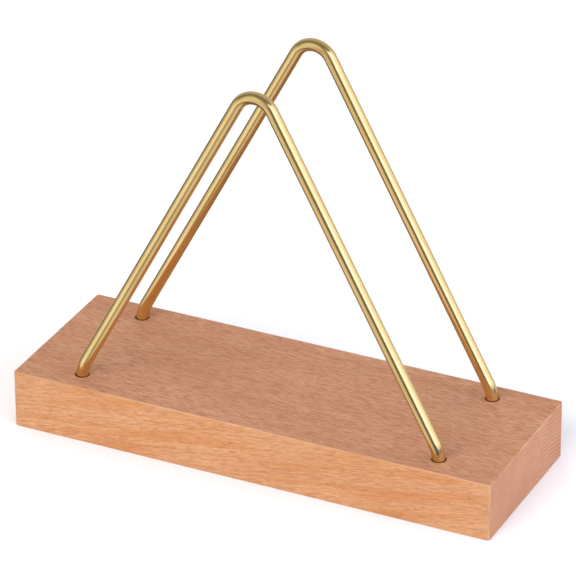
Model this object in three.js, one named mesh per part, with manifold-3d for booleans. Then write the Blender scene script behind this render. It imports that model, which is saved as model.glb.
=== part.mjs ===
// A napkin rack: a solid beech block with two triangular frames of bent brass rod standing in
// blind holes in its top face. Paper napkins or filter papers stand in the slot between the frames.
//
// Millimetres, +Z up. The origin is the centre of the block's underside. +X runs along the block,
// and +Y runs from the front frame to the rear frame.

import * as THREE from 'three';
import { mergeVertices } from 'three/addons/utils/BufferGeometryUtils.js';
import Module from 'manifold-3d';

// Beech block.
const BLOCK_LENGTH = 150;
const BLOCK_DEPTH = 52;
const BLOCK_HEIGHT = 18;
const EDGE_RADIUS = 0.5;
const CORNER_RADIUS = 0.8;
const ROUNDING_STEPS = 3; // in each quarter turn of an edge or a corner

// Bent rod frames. Bend radii are those of the rod's centre line. Each knee bend ends just inside
// its hole, where the foot is upright.
const OVERALL_HEIGHT = 120;
const ROD_DIAMETER = 3.7;
const FOOT_SPACING = 112.5;
const FRAME_SPACING = 37.5;
const APEX_BEND_RADIUS = 6;
const KNEE_BEND_RADIUS = 14;
const KNEE_BEND_DEPTH = 1.5;
const ROD_SIDES = 24;
const KNEE_BEND_STEPS = 5;
const APEX_BEND_STEPS = 16;

// Blind holes for the frames' feet, made by a twist drill with a conical point.
const HOLE_DIAMETER = 4.5;
const HOLE_DEPTH = 12;
const DRILL_POINT_ANGLE = THREE.MathUtils.degToRad(118);
const HOLE_SIDES = 32;
const GAP_UNDER_FOOT = 0.3;

// The strip of the top face that a stack of napkins stands on, clear of the holes on both sides.
const SLOT_FLOOR_WIDTH = 32;

// A shape's arc gets this many points for each of an extrusion's curveSegments.
const ARC_POINTS_PER_SEGMENT = 2;

const beech = new THREE.MeshStandardMaterial({ color: 0xd29a72, roughness: 0.62, metalness: 0 });
const brass = new THREE.MeshStandardMaterial({ color: 0xd0a862, roughness: 0.28, metalness: 1 });

const wasm = await Module();
wasm.setup();

// A closed three.js geometry as a solid for cutting.
function toSolid(geometry) {
  const bare = geometry.clone();
  bare.deleteAttribute('normal');
  bare.deleteAttribute('uv');
  const merged = mergeVertices(bare);
  return new wasm.Manifold(new wasm.Mesh({
    numProp: 3,
    vertProperties: merged.getAttribute('position').array,
    triVerts: merged.getIndex().array,
  }));
}

function toGeometry(solid) {
  const { vertProperties, triVerts } = solid.getMesh();
  const geometry = new THREE.BufferGeometry();
  geometry.setAttribute('position', new THREE.BufferAttribute(vertProperties, 3));
  geometry.setIndex(new THREE.BufferAttribute(triVerts, 1));
  geometry.computeVertexNormals();
  return geometry;
}

// The block's outline from above: a rectangle with its four corners rounded.
function blockOutline() {
  const x = BLOCK_LENGTH / 2 - CORNER_RADIUS;
  const y = BLOCK_DEPTH / 2 - CORNER_RADIUS;
  const outline = new THREE.Shape();
  outline.absarc(x, y, CORNER_RADIUS, 0, Math.PI / 2);
  outline.absarc(-x, y, CORNER_RADIUS, Math.PI / 2, Math.PI);
  outline.absarc(-x, -y, CORNER_RADIUS, Math.PI, Math.PI * 1.5);
  outline.absarc(x, -y, CORNER_RADIUS, Math.PI * 1.5, Math.PI * 2);
  return outline;
}

function roundedBlockGeometry() {
  const geometry = new THREE.ExtrudeGeometry(blockOutline(), {
    depth: BLOCK_HEIGHT - 2 * EDGE_RADIUS,
    curveSegments: ROUNDING_STEPS / ARC_POINTS_PER_SEGMENT,
    bevelThickness: EDGE_RADIUS,
    bevelSize: EDGE_RADIUS,
    bevelOffset: -EDGE_RADIUS,
    bevelSegments: ROUNDING_STEPS,
  });
  geometry.translate(0, 0, EDGE_RADIUS);
  return geometry;
}

// The space that one drilled hole takes out of the block, from its conical point up to a little
// above the block's top face. Its axis is Z, and z = 0 is where the full diameter starts.
function drilledHoleGeometry() {
  const radius = HOLE_DIAMETER / 2;
  const pointDepth = radius / Math.tan(DRILL_POINT_ANGLE / 2);
  const top = HOLE_DEPTH + radius;
  const profile = [
    new THREE.Vector2(0, -pointDepth),
    new THREE.Vector2(radius, 0),
    new THREE.Vector2(radius, top),
    new THREE.Vector2(0, top),
  ];
  const geometry = new THREE.LatheGeometry(profile, HOLE_SIDES);
  geometry.rotateX(Math.PI / 2);
  return geometry;
}

// The same block, with the slot floor kept as a face of its own instead of being merged with the
// rest of the top face.
function withSlotFloorFace(block) {
  const [rear, remainder] = block.splitByPlane([0, 1, 0], SLOT_FLOOR_WIDTH / 2);
  const [front, middle] = remainder.splitByPlane([0, -1, 0], SLOT_FLOOR_WIDTH / 2);
  return wasm.Manifold.union([front, middle.asOriginal(), rear]);
}

function makeBaseBlock() {
  let solid = withSlotFloorFace(toSolid(roundedBlockGeometry()));
  for (const x of [-FOOT_SPACING / 2, FOOT_SPACING / 2]) {
    for (const y of [-FRAME_SPACING / 2, FRAME_SPACING / 2]) {
      const hole = drilledHoleGeometry();
      hole.translate(x, y, BLOCK_HEIGHT - HOLE_DEPTH);
      solid = solid.subtract(toSolid(hole));
    }
  }
  const block = new THREE.Mesh(toGeometry(solid), beech);
  block.name = 'base_block';
  return block;
}

// A rod's centre line, given as stations that each have a point and a unit tangent.
class RodCentreLine extends THREE.Curve {
  constructor(stations) {
    super();
    this.stations = stations;
  }

  stationAt(u) {
    return this.stations[Math.round(u * (this.stations.length - 1))];
  }

  getPointAt(u, target = new THREE.Vector3()) {
    return target.copy(this.stationAt(u).point);
  }

  getTangentAt(u, target = new THREE.Vector3()) {
    return target.copy(this.stationAt(u).tangent);
  }
}

// Stations round one bend in the XZ plane, anticlockwise seen from the front.
function bendStations(x, z, radius, fromAngle, toAngle, steps) {
  const stations = [];
  for (let step = 0; step <= steps; step += 1) {
    const angle = THREE.MathUtils.lerp(fromAngle, toAngle, step / steps);
    const outward = new THREE.Vector3(Math.cos(angle), 0, Math.sin(angle));
    stations.push({
      point: new THREE.Vector3(x, 0, z).addScaledVector(outward, radius),
      tangent: new THREE.Vector3(-outward.z, 0, outward.x),
    });
  }
  return stations;
}

// The frame's centre line: up out of the right hole, inwards at the knee, up the leg, over the
// apex, and down the same way on the left.
function frameCentreLine() {
  const footEndZ = BLOCK_HEIGHT - HOLE_DEPTH + GAP_UNDER_FOOT;
  const kneeX = FOOT_SPACING / 2 - KNEE_BEND_RADIUS;
  const kneeZ = BLOCK_HEIGHT - KNEE_BEND_DEPTH;
  const apexZ = OVERALL_HEIGHT - ROD_DIAMETER / 2 - APEX_BEND_RADIUS;
  const rise = apexZ - kneeZ;
  // The straight leg is the outer common tangent of the knee's and the apex's bend circles.
  const legLean = Math.atan2(kneeX, rise)
    + Math.asin((KNEE_BEND_RADIUS - APEX_BEND_RADIUS) / Math.hypot(kneeX, rise));
  const footEnd = (side) => ({
    point: new THREE.Vector3(side * FOOT_SPACING / 2, 0, footEndZ),
    tangent: new THREE.Vector3(0, 0, side),
  });
  return new RodCentreLine([
    footEnd(1),
    ...bendStations(kneeX, kneeZ, KNEE_BEND_RADIUS, 0, legLean, KNEE_BEND_STEPS),
    ...bendStations(0, apexZ, APEX_BEND_RADIUS, legLean, Math.PI - legLean, APEX_BEND_STEPS),
    ...bendStations(-kneeX, kneeZ, KNEE_BEND_RADIUS, Math.PI - legLean, Math.PI, KNEE_BEND_STEPS),
    footEnd(-1),
  ]);
}

function rodSection() {
  const section = new THREE.Shape();
  section.absarc(0, 0, ROD_DIAMETER / 2, 0, Math.PI * 2);
  return section;
}

function makeFrame(name, y) {
  const centreLine = frameCentreLine();
  const geometry = new THREE.ExtrudeGeometry(rodSection(), {
    curveSegments: ROD_SIDES / ARC_POINTS_PER_SEGMENT,
    steps: centreLine.stations.length - 1,
    extrudePath: centreLine,
  });
  const frame = new THREE.Mesh(geometry, brass);
  frame.name = name;
  frame.position.y = y;
  return frame;
}

const rack = new THREE.Group();
rack.add(makeBaseBlock());
rack.add(makeFrame('front_frame', -FRAME_SPACING / 2));
rack.add(makeFrame('rear_frame', FRAME_SPACING / 2));

export default rack;
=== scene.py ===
"""A napkin rack: an oiled beech block with two triangular frames of bent brass rod.

Metres, +Z up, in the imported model's own frame: the origin is the centre of the block's underside,
+X runs along the block and +Y from the front frame to the rear frame. Sizes and places come from
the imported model's boxes. The easing, the bend radii and the holes' depth repeat the model's own.
The holes are a little narrower than the model's.
"""

import math

import bmesh
import bpy
from mathutils import Euler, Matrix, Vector, noise


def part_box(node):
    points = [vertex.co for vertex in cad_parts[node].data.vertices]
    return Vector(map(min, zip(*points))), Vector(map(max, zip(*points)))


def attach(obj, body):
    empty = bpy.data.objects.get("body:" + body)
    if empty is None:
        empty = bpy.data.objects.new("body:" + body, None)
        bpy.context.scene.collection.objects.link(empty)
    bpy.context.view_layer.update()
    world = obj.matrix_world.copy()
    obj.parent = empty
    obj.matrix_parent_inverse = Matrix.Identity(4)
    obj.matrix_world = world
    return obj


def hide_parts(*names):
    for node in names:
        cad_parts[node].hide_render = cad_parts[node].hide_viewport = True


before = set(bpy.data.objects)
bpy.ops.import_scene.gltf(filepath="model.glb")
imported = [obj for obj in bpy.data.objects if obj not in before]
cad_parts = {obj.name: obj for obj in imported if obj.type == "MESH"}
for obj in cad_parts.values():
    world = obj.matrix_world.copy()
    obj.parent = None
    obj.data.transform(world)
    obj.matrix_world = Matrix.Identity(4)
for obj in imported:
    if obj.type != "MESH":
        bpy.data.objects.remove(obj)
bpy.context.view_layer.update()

MM = 0.001

# The block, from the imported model.
BLOCK_LOW, BLOCK_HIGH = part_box("base_block")
HALF_LENGTH = BLOCK_HIGH.x
HALF_DEPTH = BLOCK_HIGH.y
BLOCK_TOP = BLOCK_HIGH.z

# How the block is eased: its upright corners, its other edges, and how unevenly it was sanded, as
# a share of the edges' radius and as a length along them.
CORNER_RADIUS = 0.8 * MM
EDGE_RADIUS = 0.5 * MM
EDGE_UNEVENNESS = 0.25
UNEVENNESS_LENGTH = 14 * MM

# How finely the block's outline and its eased edges are divided.
SIDE_STEP = 2.0 * MM
CORNER_STEPS = 10
EDGE_STEPS = 8

# The blind holes: a drilled wall, a conical point and a rim softened by sanding. The model's own
# radius is 2.25 mm. The smaller one here narrows the dark ring round each foot.
HOLE_RADIUS = 2.12 * MM
HOLE_DEPTH = 12 * MM
HOLE_POINT_DEPTH = 1.35 * MM
RIM_RADIUS = 0.08 * MM
RIM_STEPS = 4
HOLE_SIDES = 96

# The bent rods. The bend radii are those of the rod's centre line. Each knee bend ends
# KNEE_BEND_DEPTH inside its hole.
APEX_BEND_RADIUS = 6 * MM
KNEE_BEND_RADIUS = 14 * MM
KNEE_BEND_DEPTH = 1.5 * MM
ROD_SIDES = 72
BEND_STEP = math.radians(2)
FOOT_CHAMFER = 0.35 * MM

# The camera: its place round the object and the point it looks at.
CAMERA_AZIMUTH = math.radians(25.86)
CAMERA_ELEVATION = math.radians(28.55)
CAMERA_ROLL = math.radians(-0.29)
CAMERA_DISTANCE = 1.2603
CAMERA_TARGET = Vector((0.0007, 0, 0.0502))
CAMERA_LENS_MM = 278.0
CAMERA_SENSOR_MM = 36


# ---------------------------------------------------------------------------------------------
# Meshes
# ---------------------------------------------------------------------------------------------

def link(obj):
    bpy.context.scene.collection.objects.link(obj)
    return obj


def set_normals(mesh, vertex_normals, flat_faces):
    """Gives every corner its vertex's exact normal, or its face's own normal on the flat faces."""
    normals = []
    for face in mesh.polygons:
        face.use_smooth = True
        for index in face.vertices:
            flat = face.index in flat_faces
            normals.append(face.normal.copy() if flat else vertex_normals[index])
    mesh.normals_split_custom_set(normals)


def add_ring(bm, normals, points):
    """Adds one closed ring of (place, normal) points and returns its vertices."""
    ring = []
    for place, normal in points:
        ring.append(bm.verts.new(place))
        normals.append(normal)
    return ring


def bridge(bm, lower, upper):
    """Joins two rings of equal length with a band of quads."""
    count = len(lower)
    for i in range(count):
        j = (i + 1) % count
        bm.faces.new((lower[i], lower[j], upper[j], upper[i]))


def ring_edges(bm, ring):
    return [bm.edges.get((ring[i], ring[(i + 1) % len(ring)])) for i in range(len(ring))]


def block_outline():
    """The block's outline from above as (place, outward normal), anticlockwise."""
    x, y = HALF_LENGTH - CORNER_RADIUS, HALF_DEPTH - CORNER_RADIUS
    corners = [Vector((x, y, 0)), Vector((-x, y, 0)), Vector((-x, -y, 0)), Vector((x, -y, 0))]
    outline = []
    for turn, corner in enumerate(corners):
        for step in range(CORNER_STEPS + 1):
            angle = (turn + step / CORNER_STEPS) * math.pi / 2
            normal = Vector((math.cos(angle), math.sin(angle), 0))
            outline.append((corner + normal * CORNER_RADIUS, normal))
        start = outline[-1][0]
        end = corners[(turn + 1) % len(corners)] + normal * CORNER_RADIUS
        pieces = round((end - start).length / SIDE_STEP)
        outline += [(start.lerp(end, k / pieces), normal) for k in range(1, pieces)]
    return outline


def easing(place, seed):
    """The local radius of an eased edge, which wanders a little as on a hand-sanded block."""
    wander = noise.noise(place / UNEVENNESS_LENGTH + Vector((0, 0, seed)))
    return EDGE_RADIUS * (1 + EDGE_UNEVENNESS * wander)


def eased_edge(outline, top):
    """Rings of (place, normal) round the upper or the lower edge, from the wall to the flat."""
    side = 1 if top else -1
    face_z = BLOCK_TOP if top else 0
    rings = []
    for step in range(EDGE_STEPS + 1):
        angle = step / EDGE_STEPS * math.pi / 2
        ring = []
        for place, normal in outline:
            radius = easing(place, side)
            inset = radius * (1 - math.cos(angle))
            z = face_z - side * radius * (1 - math.sin(angle))
            surface = normal * math.cos(angle) + Vector((0, 0, side * math.sin(angle)))
            ring.append((place - normal * inset + Vector((0, 0, z)), surface))
        rings.append(ring)
    return rings


def hole_rings(x, y):
    """Rings of (place, normal) down one hole: over the rim, down the wall to the point's start."""
    rings = []
    levels = []
    for step in range(RIM_STEPS + 1):
        angle = (1 - step / RIM_STEPS) * math.pi / 2
        radius = HOLE_RADIUS + RIM_RADIUS * (1 - math.cos(angle))
        levels.append((radius, BLOCK_TOP - RIM_RADIUS * (1 - math.sin(angle)), angle))
    levels.append((HOLE_RADIUS, BLOCK_TOP - HOLE_DEPTH, 0))
    for radius, z, tilt in levels:
        ring = []
        for k in range(HOLE_SIDES):
            angle = k / HOLE_SIDES * 2 * math.pi
            out = Vector((math.cos(angle), math.sin(angle), 0))
            normal = Vector((0, 0, math.sin(tilt))) - out * math.cos(tilt)
            ring.append((Vector((x, y, z)) + out * radius, normal))
        rings.append(ring)
    return rings


def make_block(name, feet):
    """The eased block with one blind hole at each (x, y) in feet."""
    bm = bmesh.new()
    normals = []
    outline = block_outline()
    bottom = [add_ring(bm, normals, ring) for ring in eased_edge(outline, top=False)]
    top = [add_ring(bm, normals, ring) for ring in eased_edge(outline, top=True)]
    for below, above in zip(bottom[::-1], (bottom[::-1] + top)[1:]):
        bridge(bm, below, above)
    for below, above in zip(top, top[1:]):
        bridge(bm, below, above)
    rims = []
    for x, y in feet:
        rings = [add_ring(bm, normals, ring) for ring in hole_rings(x, y)]
        for above, below in zip(rings, rings[1:]):
            bridge(bm, below, above)
        point = bm.verts.new((x, y, BLOCK_TOP - HOLE_DEPTH - HOLE_POINT_DEPTH))
        normals.append(Vector((0, 0, 1)))
        last = rings[-1]
        for i in range(HOLE_SIDES):
            bm.faces.new((last[i], point, last[(i + 1) % HOLE_SIDES]))
        rims += ring_edges(bm, rings[0])
    bm.faces.new(bottom[-1])
    bmesh.ops.triangle_fill(bm, use_beauty=True, edges=ring_edges(bm, top[-1]) + rims)
    bmesh.ops.recalc_face_normals(bm, faces=bm.faces)
    mesh = bpy.data.meshes.new(name)
    bm.to_mesh(mesh)
    bm.free()
    set_normals(mesh, normals, flat_faces=())
    return link(bpy.data.objects.new(name, mesh))


def bend(centre_x, centre_z, radius, start, end):
    """Stations (x, z, angle of the outward normal) round one bend."""
    steps = round(abs(end - start) / BEND_STEP)
    steps += steps % 2
    angles = [start + (end - start) * k / steps for k in range(steps + 1)]
    return [(centre_x + radius * math.cos(a), centre_z + radius * math.sin(a), a) for a in angles]


def frame_stations(low, high):
    """The rod's centre line in the XZ plane from its right foot to its left foot."""
    rod_radius = (high.y - low.y) / 2
    foot_x = high.x - rod_radius
    knee_x = foot_x - KNEE_BEND_RADIUS
    knee_z = BLOCK_TOP - KNEE_BEND_DEPTH
    apex_z = high.z - rod_radius - APEX_BEND_RADIUS
    rise = apex_z - knee_z
    lean = math.atan2(knee_x, rise)
    lean += math.asin((KNEE_BEND_RADIUS - APEX_BEND_RADIUS) / math.hypot(knee_x, rise))
    foot_end = low.z + FOOT_CHAMFER
    return [
        (foot_x, foot_end, 0),
        *bend(knee_x, knee_z, KNEE_BEND_RADIUS, 0, lean),
        *bend(0, apex_z, APEX_BEND_RADIUS, lean, math.pi - lean),
        *bend(-knee_x, knee_z, KNEE_BEND_RADIUS, math.pi - lean, math.pi),
        (-foot_x, foot_end, math.pi),
    ]


def make_frame(name, node):
    """One bent rod with chamfered ends, fitted to the CAD node's box. The mesh also carries the
    rod's straightened coordinates, so that a finish can run along the rod and round its bends."""
    low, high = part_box(node)
    radius = (high.y - low.y) / 2
    y = (high.y + low.y) / 2
    stations = frame_stations(low, high)
    bm = bmesh.new()
    normals = []
    straight = []

    def section(x, z, angle, section_radius, length):
        ring = []
        for k in range(ROD_SIDES):
            turn = k / ROD_SIDES * 2 * math.pi
            out = Vector((math.cos(angle), 0, math.sin(angle))) * math.cos(turn)
            out += Vector((0, math.sin(turn), 0))
            ring.append((Vector((x, y, z)) + out * section_radius, out))
            straight.append(Vector((length, math.cos(turn) * radius, math.sin(turn) * radius)))
        return add_ring(bm, normals, ring)

    first, last = stations[0], stations[-1]
    rings = [section(first[0], low.z, first[2], radius - FOOT_CHAMFER, -FOOT_CHAMFER)]
    length = 0
    for k, (x, z, angle) in enumerate(stations):
        if k:
            length += math.hypot(x - stations[k - 1][0], z - stations[k - 1][1])
        rings.append(section(x, z, angle, radius, length))
    rings.append(section(last[0], low.z, last[2], radius - FOOT_CHAMFER, length + FOOT_CHAMFER))
    for below, above in zip(rings, rings[1:]):
        bridge(bm, below, above)
    ends = [bm.faces.new(rings[0]), bm.faces.new(rings[-1])]
    bmesh.ops.recalc_face_normals(bm, faces=bm.faces)
    bm.faces.index_update()
    flat = {face.index for face in ends}
    for vertex in rings[0] + rings[-1]:
        flat |= {face.index for face in vertex.link_faces}
    mesh = bpy.data.meshes.new(name)
    bm.to_mesh(mesh)
    bm.free()
    set_normals(mesh, normals, flat)
    attribute = mesh.attributes.new("straightened", "FLOAT_VECTOR", "POINT")
    for item, value in zip(attribute.data, straight):
        item.vector = value
    return link(bpy.data.objects.new(name, mesh))


# ---------------------------------------------------------------------------------------------
# Materials
# ---------------------------------------------------------------------------------------------

class Shader:
    """The node tree of a material or of the world. add() makes a node, sets its properties and
    fills its inputs, linking those that are sockets."""

    # The Mix node's sockets when it mixes colours.
    MIX_FACTOR, MIX_A, MIX_B = 0, 6, 7
    MIX_RESULT = 2

    def __init__(self, owner):
        self.owner = owner
        owner.use_nodes = True
        self.tree = owner.node_tree
        self.tree.nodes.clear()

    def add(self, kind, inputs=None, **properties):
        node = self.tree.nodes.new("ShaderNode" + kind)
        for key, value in properties.items():
            setattr(node, key, value)
        for key, value in (inputs or {}).items():
            if isinstance(value, bpy.types.NodeSocket):
                self.tree.links.new(value, node.inputs[key])
            else:
                node.inputs[key].default_value = value
        return node

    def math(self, operation, a, b=0.0):
        return self.add("Math", {0: a, 1: b}, operation=operation).outputs[0]

    def vector_math(self, operation, a, b):
        return self.add("VectorMath", {0: a, 1: b}, operation=operation).outputs[0]

    def pattern(self, vector, cell, detail):
        """Noise whose cells are this long along each axis, with this many finer layers."""
        scaled = self.vector_math("MULTIPLY", vector, tuple(1 / length for length in cell))
        inputs = {"Vector": scaled, "Scale": 1.0, "Detail": detail}
        return self.add("TexNoise", inputs).outputs["Fac"]

    def remap(self, value, low, high, out_low=0.0, out_high=1.0):
        """Maps low..high onto out_low..out_high, smoothly and clamped."""
        inputs = {"Value": value, "From Min": low, "From Max": high,
                  "To Min": out_low, "To Max": out_high}
        node = self.add("MapRange", inputs, interpolation_type="SMOOTHSTEP")
        return node.outputs["Result"]

    def mix(self, factor, a, b, blend_type="MIX"):
        """Mixes two colours."""
        inputs = {self.MIX_FACTOR: factor, self.MIX_A: a, self.MIX_B: b}
        node = self.add("Mix", inputs, data_type="RGBA", blend_type=blend_type)
        return node.outputs[self.MIX_RESULT]

    def finish(self, principled, bump_height, bump_distance):
        inputs = {"Height": bump_height, "Distance": bump_distance, "Strength": 1.0}
        bump = self.add("Bump", inputs)
        self.tree.links.new(bump.outputs["Normal"], principled.inputs["Normal"])
        self.add("OutputMaterial", {"Surface": principled.outputs["BSDF"]})
        return self.owner


def rgb(red, green, blue):
    """A colour given in display values from 0 to 255, made linear by the sRGB curve."""
    def linear(value):
        value /= 255
        return value / 12.92 if value <= 0.04045 else ((value + 0.055) / 1.055) ** 2.4
    return (linear(red), linear(green), linear(blue), 1.0)


# Beech.
BEECH_LIGHT = rgb(201, 150, 113)
BEECH_DARK = rgb(178, 124, 89)
BAND_COLOUR = rgb(184, 116, 66)
STREAK_COLOUR = rgb(158, 99, 68)
FLECK_COLOUR = rgb(118, 64, 42)
# The pale colour of a painted highlight on the eased outer edges.
EDGE_HIGHLIGHT_COLOUR = rgb(214, 172, 138)
SIDE_TINT = (1.0, 1.0, 0.84, 1.0)

# The grain runs along X but drifts a little towards Y, and on the long sides towards Z as well.
# Each is the drift per metre of X.
GRAIN_DRIFT_Y = 0.05
SIDE_DRIFT_Z = -0.16

# The tree's pith is below the block, so that the top face is flat sawn.
PITH = Vector((0, 6 * MM, -70 * MM))
RING_SPACING = 1.3 * MM
RING_WANDER = 2 * MM

# Across one ring, from 0 to 1: where the late wood darkens, and where it breaks off again.
LATE_WOOD_RISE = (0.2, 0.85)
LATE_WOOD_FALL = (1.0, 0.9)

# The wood's patterns: the size of their cells along X, Y and Z, and how many finer layers they
# get.
WANDER_PATTERN = ((90 * MM, 16 * MM, 16 * MM), 3)
PATCH_PATTERN = ((30 * MM, 8 * MM, 6 * MM), 2)
STREAK_PATTERN = ((4 * MM, 0.42 * MM, 0.42 * MM), 2)
FINE_STREAK_PATTERN = ((1.8 * MM, 0.27 * MM, 0.27 * MM), 2)
FLECK_PATTERN = ((3.2 * MM, 0.5 * MM, 0.5 * MM), 0)
FIBRE_PATTERN = ((12 * MM, 0.2 * MM, 0.2 * MM), 3)
CLOUD_PATTERN = ((45 * MM, 9 * MM, 9 * MM), 2)
BAND_PATTERN = ((60 * MM, 3.2 * MM, 3.2 * MM), 2)

# What a pattern's values become: the range that is used, and what its two ends are mapped to,
# which is 0 and 1 if nothing is given.
PATCH_TO_RINGS = (0.35, 0.6, 0.1, 1.0)
STREAK_RANGE = (0.44, 0.64)
FINE_STREAK_RANGE = (0.46, 0.66)
FLECK_RANGE = (0.74, 0.82)
BAND_RANGE = (0.45, 0.65)
CLOUD_TO_DARKENING = (0.3, 0.7, 0.0, 0.5)
FIBRE_TO_DARKENING = (0.35, 0.7, 0.0, 0.3)
FIBRE_TO_ROUGHNESS = (0.2, 0.8, 0.52, 0.68)

# How strongly a pattern shows on the top, and what the long sides and the ends add to that.
RING_DEPTH = (0.35, 0.0, 0.5)
STREAK_DEPTH = (1.0, -0.32, -0.4)
BAND_DEPTH = (0.2, 0.4, 0.0)
STREAK_STRENGTH = 0.8
FINE_STREAK_STRENGTH = 0.68
FLECK_STRENGTH = 0.38
END_RING_STRENGTH = 0.5

# A painted highlight makes the eased outer edges paler, in places more than in others. The first
# range is of how squarely the surface faces an axis, and the second is of the cloud pattern.
EDGE_HIGHLIGHT_WIDTH = 1.2 * MM
FACING_TO_HIGHLIGHT = (0.99, 0.86)
CLOUD_TO_HIGHLIGHT = (0.35, 0.65, 0.35, 0.08)

# Streaks and fibres lie a little below the surface.
STREAK_RELIEF = 0.6
FIBRE_RELIEF = 0.5
BEECH_RELIEF_DEPTH = 0.025 * MM


def along_the_grain(shader, place, on_side):
    """The place in coordinates that follow the grain's drift."""
    x = shader.add("SeparateXYZ", {"Vector": place}).outputs["X"]
    side_drift = shader.math("MULTIPLY", on_side, SIDE_DRIFT_Z)
    slope = shader.add("CombineXYZ", {"Y": GRAIN_DRIFT_Y, "Z": side_drift}).outputs[0]
    drift = shader.add("VectorMath", {0: slope, "Scale": x}, operation="SCALE").outputs[0]
    return shader.vector_math("ADD", place, drift)


def late_wood_rings(shader, place):
    """How much late wood there is, in growth rings round the pith that wander along the board."""
    wander = shader.pattern(place, *WANDER_PATTERN)
    across = shader.vector_math("SUBTRACT", place, tuple(PITH))
    across = shader.vector_math("MULTIPLY", across, (0, 1, 1))
    radius = shader.add("VectorMath", {0: across}, operation="LENGTH").outputs["Value"]
    radius = shader.math("ADD", radius, shader.math("MULTIPLY", wander, RING_WANDER))
    ring = shader.math("FRACT", shader.math("DIVIDE", radius, RING_SPACING))
    rise = shader.remap(ring, *LATE_WOOD_RISE)
    return shader.math("MULTIPLY", rise, shader.remap(ring, *LATE_WOOD_FALL))


def painted_edge_highlight(shader, place, facings, cloud):
    """How strongly the painted highlight lies on the surface: only on the eased outer edges, not
    round the holes.
    """
    on_side, on_end, on_top = facings
    axes = shader.add("SeparateXYZ", {"Vector": place}).outputs
    facing = shader.math("MAXIMUM", shader.math("MAXIMUM", on_side, on_end), on_top)
    from_end = shader.math("SUBTRACT", shader.math("ABSOLUTE", axes["X"]), HALF_LENGTH)
    from_side = shader.math("SUBTRACT", shader.math("ABSOLUTE", axes["Y"]), HALF_DEPTH)
    outermost = shader.math("MAXIMUM", from_end, from_side)
    near_rim = shader.math("GREATER_THAN", outermost, -EDGE_HIGHLIGHT_WIDTH)
    highlight_amount = shader.math("MULTIPLY", shader.remap(facing, *FACING_TO_HIGHLIGHT), near_rim)
    return shader.math("MULTIPLY", highlight_amount, shader.remap(cloud, *CLOUD_TO_HIGHLIGHT))


def beech_material():
    shader = Shader(bpy.data.materials.new("beech"))
    coordinates = shader.add("TexCoord").outputs
    normal = shader.add("SeparateXYZ", {"Vector": coordinates["Normal"]}).outputs
    on_side, on_end, on_top = (shader.math("ABSOLUTE", normal[axis]) for axis in "YXZ")

    def by_face(top, side_change, end_change):
        side = shader.math("MULTIPLY", on_side, side_change)
        end = shader.math("MULTIPLY", on_end, end_change)
        return shader.math("ADD", shader.math("ADD", top, side), end)

    place = along_the_grain(shader, coordinates["Object"], on_side)
    fibre = shader.pattern(place, *FIBRE_PATTERN)
    cloud = shader.pattern(place, *CLOUD_PATTERN)

    # Growth rings, and slow changes of tone.
    rings = late_wood_rings(shader, place)
    patches = shader.remap(shader.pattern(place, *PATCH_PATTERN), *PATCH_TO_RINGS)
    late_wood = shader.math("MULTIPLY", shader.math("MULTIPLY", rings, patches),
                            by_face(*RING_DEPTH))
    colour = shader.mix(late_wood, BEECH_LIGHT, BEECH_DARK)
    colour = shader.mix(shader.remap(cloud, *CLOUD_TO_DARKENING), colour, BEECH_DARK)
    colour = shader.mix(shader.remap(fibre, *FIBRE_TO_DARKENING), colour, BEECH_DARK)
    bands = shader.remap(shader.pattern(place, *BAND_PATTERN), *BAND_RANGE)
    bands = shader.math("MULTIPLY", bands, by_face(*BAND_DEPTH))
    colour = shader.mix(bands, colour, BAND_COLOUR)

    # Rays and pores: dense short streaks along the grain in two sizes, and a few darker flecks.
    streaks = shader.remap(shader.pattern(place, *STREAK_PATTERN), *STREAK_RANGE)
    fine = shader.remap(shader.pattern(place, *FINE_STREAK_PATTERN), *FINE_STREAK_RANGE)
    marks = shader.math("MAXIMUM", shader.math("MULTIPLY", streaks, STREAK_STRENGTH),
                        shader.math("MULTIPLY", fine, FINE_STREAK_STRENGTH))
    marks = shader.math("MULTIPLY", marks, by_face(*STREAK_DEPTH))
    colour = shader.mix(marks, colour, STREAK_COLOUR)
    end_rings = shader.math("MULTIPLY", shader.math("MULTIPLY", rings, on_end),
                            END_RING_STRENGTH)
    colour = shader.mix(end_rings, colour, STREAK_COLOUR)
    flecks = shader.remap(shader.pattern(place, *FLECK_PATTERN), *FLECK_RANGE)
    colour = shader.mix(shader.math("MULTIPLY", flecks, FLECK_STRENGTH), colour, FLECK_COLOUR)

    # The long sides are a little yellower than the top and the ends.
    colour = shader.mix(on_side, colour, shader.mix(1.0, colour, SIDE_TINT, "MULTIPLY"))

    # The eased outer edges get a painted highlight, paler in some places than in others.
    highlight_amount = painted_edge_highlight(shader, coordinates["Object"], (on_side, on_end, on_top), cloud)
    colour = shader.mix(highlight_amount, colour, EDGE_HIGHLIGHT_COLOUR)

    roughness = shader.remap(fibre, *FIBRE_TO_ROUGHNESS)
    principled = shader.add("BsdfPrincipled", {"Base Color": colour, "Roughness": roughness})
    relief = shader.math("ADD", shader.math("MULTIPLY", streaks, STREAK_RELIEF),
                         shader.math("MULTIPLY", fibre, FIBRE_RELIEF))
    return shader.finish(principled, shader.math("MULTIPLY", relief, -1.0), BEECH_RELIEF_DEPTH)


# Brass. The patterns' cells are measured along the straightened rod and across it.
BRASS = rgb(230, 200, 138)
BRASS_TARNISHED = rgb(218, 184, 115)
DRAWN_LINE_PATTERN = ((12 * MM, 0.09 * MM, 0.09 * MM), 3)
TARNISH_PATTERN = ((18 * MM, 2.5 * MM, 2.5 * MM), 3)
TARNISH_TO_TONE = (0.35, 0.7, 0.0, 0.6)
LINES_TO_ROUGHNESS = (0.3, 0.7, 0.16, 0.23)
TARNISH_ROUGHNESS = 0.06
BRASS_RELIEF_DEPTH = 0.001 * MM


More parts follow.
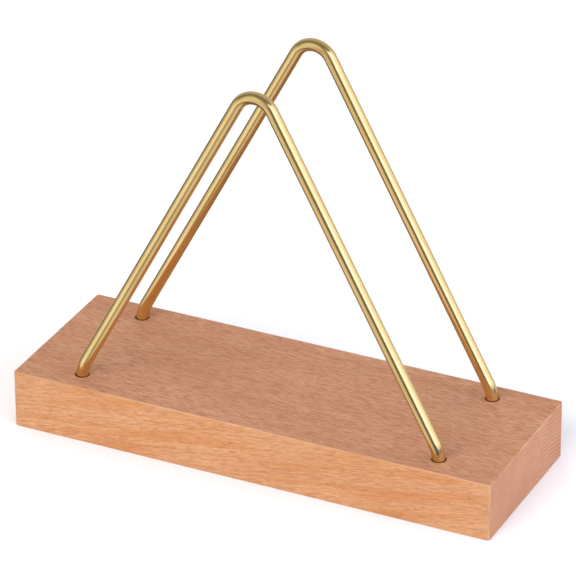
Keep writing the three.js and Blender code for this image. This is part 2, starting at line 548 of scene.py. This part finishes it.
def brass_material():
    """Brass with fine lines drawn along the rod, and slow changes of tone."""
    shader = Shader(bpy.data.materials.new("brass_rod"))
    along = shader.add("Attribute", attribute_name="straightened").outputs["Vector"]
    lines = shader.pattern(along, *DRAWN_LINE_PATTERN)
    tarnish = shader.pattern(along, *TARNISH_PATTERN)
    colour = shader.mix(shader.remap(tarnish, *TARNISH_TO_TONE), BRASS, BRASS_TARNISHED)
    roughness = shader.math("ADD", shader.remap(lines, *LINES_TO_ROUGHNESS),
                            shader.math("MULTIPLY", tarnish, TARNISH_ROUGHNESS))
    inputs = {"Base Color": colour, "Metallic": 1.0, "Roughness": roughness}
    principled = shader.add("BsdfPrincipled", inputs)
    return shader.finish(principled, lines, BRASS_RELIEF_DEPTH)


# ---------------------------------------------------------------------------------------------
# The object
# ---------------------------------------------------------------------------------------------

def feet():
    """The (x, y) places of the four feet."""
    places = []
    for node in ("front_frame", "rear_frame"):
        low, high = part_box(node)
        rod_radius = (high.y - low.y) / 2
        foot_x = high.x - rod_radius
        places += [(-foot_x, (low.y + high.y) / 2), (foot_x, (low.y + high.y) / 2)]
    return places


def dress(piece, node, body, material):
    piece.data.materials.append(material)
    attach(piece, body)
    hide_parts(node)


dress(make_block("beech_block", feet()), "base_block", "base", beech_material())
brass = brass_material()
dress(make_frame("front_rod", "front_frame"), "front_frame", "front_frame", brass)
dress(make_frame("rear_rod", "rear_frame"), "rear_frame", "rear_frame", brass)


# ---------------------------------------------------------------------------------------------
# Floor, light and camera
# ---------------------------------------------------------------------------------------------

FLOOR_COLOUR = rgb(250, 250, 249)
FLOOR_ROUGHNESS = 0.9
FLOOR_HALF_SIZE = 4.0

# What the brass mirrors is a room that is dim in front of the rack and pale behind it. Above and
# below the horizon, this is the range of a direction's Y over which it changes, and the radiance
# in front and behind. The horizon is blurred over a range of the direction's Z.
ROOM_ABOVE = (-0.1, 0.5, 0.26, 0.65)
ROOM_BELOW = (0.35, 0.75, 0.14, 0.8)
HORIZON_BLUR = (-0.06, 0.06)

# Pale reflectors in front of the rack: a direction, a radiance, and the angles inside which it is
# full and outside which it is gone.
REFLECTORS = (
    (Vector((-0.56, -0.72, -0.42)), 0.8, math.radians(13), math.radians(24)),
    (Vector((-0.86, -0.36, -0.28)), 0.7, math.radians(10), math.radians(32)),
    (Vector((-0.10, -0.93, -0.34)), 0.7, math.radians(6), math.radians(17)),
    (Vector((0.24, -0.53, -0.81)), 0.75, math.radians(13), math.radians(30)),
    (Vector((-0.36, -0.88, 0.30)), 0.75, math.radians(14), math.radians(38)),
)

DAYLIGHT = (0.85, 0.92, 1.3)
NEUTRAL = (1.0, 1.0, 1.0)

# The softboxes: name, place, the point it faces, width and height, radiance, colour, and whether
# the brass mirrors it.
SOFTBOXES = (
    ("right_softbox", (0.9, -0.48, 0.45), (0, 0, 0.1), (0.95, 0.9), 1.9, DAYLIGHT, True),
    ("side_softbox", (0.97, 0.31, 0.45), (0, 0, 0.1), (0.85, 0.9), 0.95, DAYLIGHT, True),
    ("end_softbox", (1.2, 0.1, 0.3), (0, 0, 0), (0.8, 0.5), 3.6, NEUTRAL, False),
    ("front_softbox", (-0.35, -1.45, 1.0), (0, 0, 0), (2.0, 1.0), 4.9, NEUTRAL, False),
    ("top_softbox", (-0.1, 0.3, 1.5), (0, 0, 0), (1.4, 1.2), 0.76, NEUTRAL, False),
)


def make_floor():
    half = FLOOR_HALF_SIZE
    corners = [(-half, -half, 0), (half, -half, 0), (half, half, 0), (-half, half, 0)]
    mesh = bpy.data.meshes.new("floor")
    mesh.from_pydata(corners, [], [(0, 1, 2, 3)])
    floor = link(bpy.data.objects.new("floor", mesh))
    shader = Shader(bpy.data.materials.new("floor"))
    inputs = {"Base Color": FLOOR_COLOUR, "Roughness": FLOOR_ROUGHNESS}
    principled = shader.add("BsdfPrincipled", inputs)
    shader.add("OutputMaterial", {"Surface": principled.outputs["BSDF"]})
    mesh.materials.append(shader.owner)
    floor.visible_glossy = False


def make_softbox(name, place, target, size, radiance, colour, mirrored):
    """A rectangular area light that looks as bright as radiance from straight in front."""
    light = bpy.data.lights.new(name, "AREA")
    light.shape = "RECTANGLE"
    light.size, light.size_y = size
    light.color = colour
    light.energy = radiance * math.pi * size[0] * size[1]
    lamp = link(bpy.data.objects.new(name, light))
    lamp.visible_glossy = mirrored
    lamp.location = place
    lamp.rotation_euler = (Vector(target) - Vector(place)).to_track_quat("-Z", "Y").to_euler()


def make_world():
    world = bpy.data.worlds.new("studio")
    bpy.context.scene.world = world
    shader = Shader(world)
    direction = shader.add("TexCoord").outputs["Generated"]
    axes = shader.add("SeparateXYZ", {"Vector": direction}).outputs
    above = shader.remap(axes["Y"], *ROOM_ABOVE)
    below = shader.remap(axes["Y"], *ROOM_BELOW)
    overhead = shader.remap(axes["Z"], *HORIZON_BLUR)
    inputs = {"Value": overhead, "To Min": below, "To Max": above}
    level = shader.add("MapRange", inputs).outputs["Result"]
    for towards, radiance, full, gone in REFLECTORS:
        inputs = {0: direction, 1: tuple(towards.normalized())}
        closeness = shader.add("VectorMath", inputs, operation="DOT_PRODUCT").outputs["Value"]
        lobe = shader.remap(closeness, math.cos(gone), math.cos(full), 0.0, radiance)
        level = shader.math("ADD", level, lobe)
    background = shader.add("Background", {"Color": (1, 1, 1, 1), "Strength": level})
    shader.add("OutputWorld", {"Surface": background.outputs[0]})


def make_camera():
    data = bpy.data.cameras.new("camera")
    data.lens = CAMERA_LENS_MM
    data.sensor_width = CAMERA_SENSOR_MM
    camera = link(bpy.data.objects.new("camera", data))
    level = math.cos(CAMERA_ELEVATION)
    back = Vector((math.sin(CAMERA_AZIMUTH) * level, -math.cos(CAMERA_AZIMUTH) * level,
                   math.sin(CAMERA_ELEVATION)))
    camera.location = CAMERA_TARGET + back * CAMERA_DISTANCE
    upright = Euler((math.pi / 2 - CAMERA_ELEVATION, 0, CAMERA_AZIMUTH)).to_matrix()
    roll = Euler((0, 0, CAMERA_ROLL)).to_matrix()
    camera.rotation_euler = (upright @ roll).to_euler()
    bpy.context.scene.camera = camera


make_floor()
make_world()
for softbox in SOFTBOXES:
    make_softbox(*softbox)
make_camera()
bpy.context.scene.view_settings.view_transform = "Standard"
